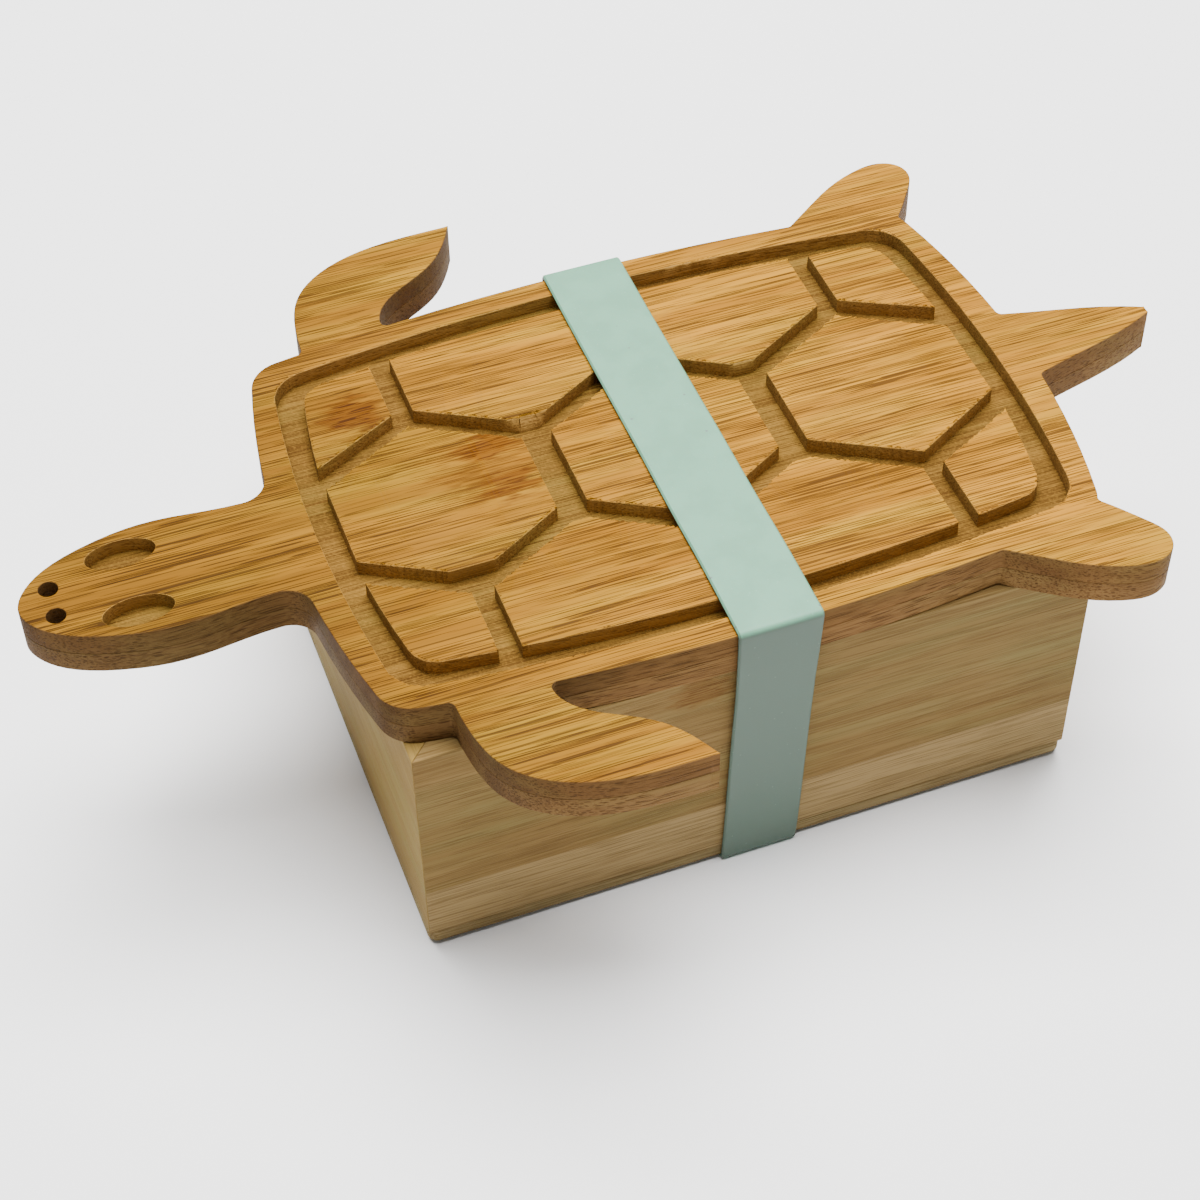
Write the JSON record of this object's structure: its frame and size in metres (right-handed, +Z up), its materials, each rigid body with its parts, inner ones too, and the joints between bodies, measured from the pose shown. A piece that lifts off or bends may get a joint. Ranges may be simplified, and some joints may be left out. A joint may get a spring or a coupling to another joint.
{
  "type": "bento lunch box",
  "caption": "Bamboo lunch box with a thick turtle-shaped lid, carved like a shell, held on by a wide elastic band; a loose divider parts the inside.",
  "frame": {"origin": "under the middle of the box, on the plane it rests on, which is the underside of the band", "axes": "+X along the box towards the turtle's tail, +Y towards the back wall, +Z up out of the lid"},
  "size_m": [0.3235, 0.2136, 0.0943],
  "materials": {
    "box_bamboo": "oiled laminated bamboo strips",
    "panel_bamboo": "oiled bamboo ply, seen mostly at its edge",
    "lid_bamboo": "oiled bamboo ply with routed grooves",
    "silicone": "matte sage green silicone"
  },
  "bodies": {
    "box": {"front_wall": "box_bamboo", "back_wall": "box_bamboo", "head_end_wall": "box_bamboo", "tail_end_wall": "box_bamboo", "bottom_panel": "panel_bamboo", "elastic_band": "silicone"},
    "lid": {"lid_bottom_ply": "lid_bamboo", "lid_top_ply": "lid_bamboo", "lid_locating_board": "box_bamboo"},
    "divider": {"divider": "box_bamboo"}
  },
  "joints": [
    {"name": "lid_lift", "type": "slide", "parent": "box", "child": "lid", "axis": [0, 0, 1], "range_m": [0, 0.06], "stiffness_N_per_m": 400, "springref_m": -0.024, "deforming": ["elastic_band"]},
    {"name": "divider_lift", "type": "slide", "parent": "box", "child": "divider", "axis": [0, 0, 1], "range_m": [0, 0.03]}
  ],
  "couplings": [
    {"joint": "divider_lift", "follows": "lid_lift", "ratio": 0.5}
  ]
}
